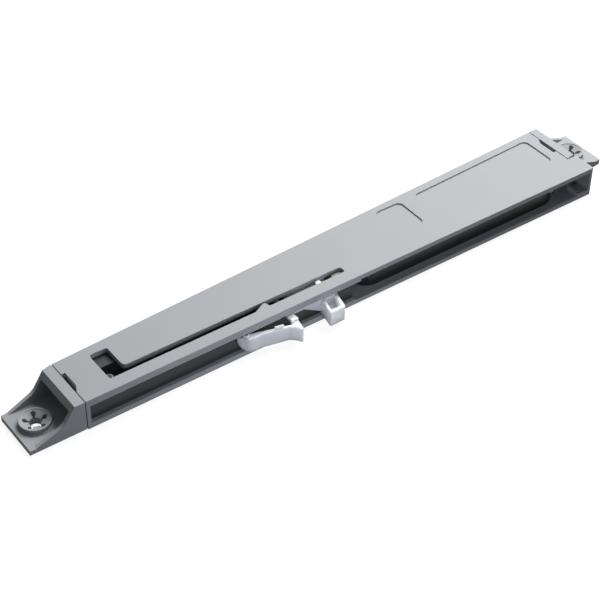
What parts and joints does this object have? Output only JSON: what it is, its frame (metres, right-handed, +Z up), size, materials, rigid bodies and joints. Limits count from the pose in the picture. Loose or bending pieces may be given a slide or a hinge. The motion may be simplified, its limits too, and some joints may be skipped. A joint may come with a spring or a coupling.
{
  "type": "soft close damper",
  "caption": "Slim screw-on soft close damper: a tapering sleeve with end tabs, a sprung carriage with catch and lever, and a rod damper.",
  "frame": {"origin": "centre of the left screw hole on the mounting face, with the catch side nearest", "axes": "+X along the sleeve to the right, +Y from the catch side inwards, +Z up out of the mounting face"},
  "size_m": [0.2376, 0.0362, 0.0112],
  "materials": {
    "grey_plastic": "matt, moulded",
    "dark_grey_plastic": "matt, moulded",
    "olive_plastic": "satin, moulded",
    "black_plastic": "satin, moulded",
    "white_plastic": "satin, moulded",
    "beige_plastic": "satin, moulded",
    "grey_rubber": "matt",
    "black_rubber": "matt",
    "dark_foam": "matt, open surface",
    "pin_steel": "ground",
    "tube_steel": "drawn, bright",
    "spring_steel": "drawn wire"
  },
  "bodies": {
    "base": {"housing": "grey_plastic", "left_end_cap": "dark_grey_plastic", "right_end_cap": "dark_grey_plastic", "guide_rail": "olive_plastic", "park_buffer": "grey_rubber", "home_buffer": "grey_rubber", "damper_tube": "tube_steel", "rod_guide": "beige_plastic", "rod_seal": "black_rubber", "end_plug": "black_plastic", "expansion_foam": "dark_foam", "damper_cradle": "black_plastic", "closing_spring": "spring_steel", "anchor_pin": "pin_steel"},
    "carriage": {"carriage": "black_plastic", "catch_block": "white_plastic", "rod_coupling": "beige_plastic", "damper_rod": "pin_steel", "piston": "black_plastic", "piston_ring": "black_rubber", "lever_bracket": "white_plastic", "lever_pin": "pin_steel", "lever_spring": "spring_steel"},
    "lever": {"lever": "white_plastic"}
  },
  "joints": [
    {"name": "carriage_slide", "type": "slide", "parent": "base", "child": "carriage", "axis": [1, 0, 0], "range_m": [-0.0501, 0], "stiffness_N_per_m": 90, "springref_m": 0.05, "deforming": ["closing_spring"]},
    {"name": "lever_hinge", "type": "hinge", "parent": "carriage", "child": "lever", "pos_m": [0.0688, -0.00935, 0.0048], "axis": [0, 0, 1], "range_deg": [0, 12], "stiffness_Nm_per_rad": 0.02, "springref_deg": -20.05, "deforming": ["lever_spring"]}
  ]
}
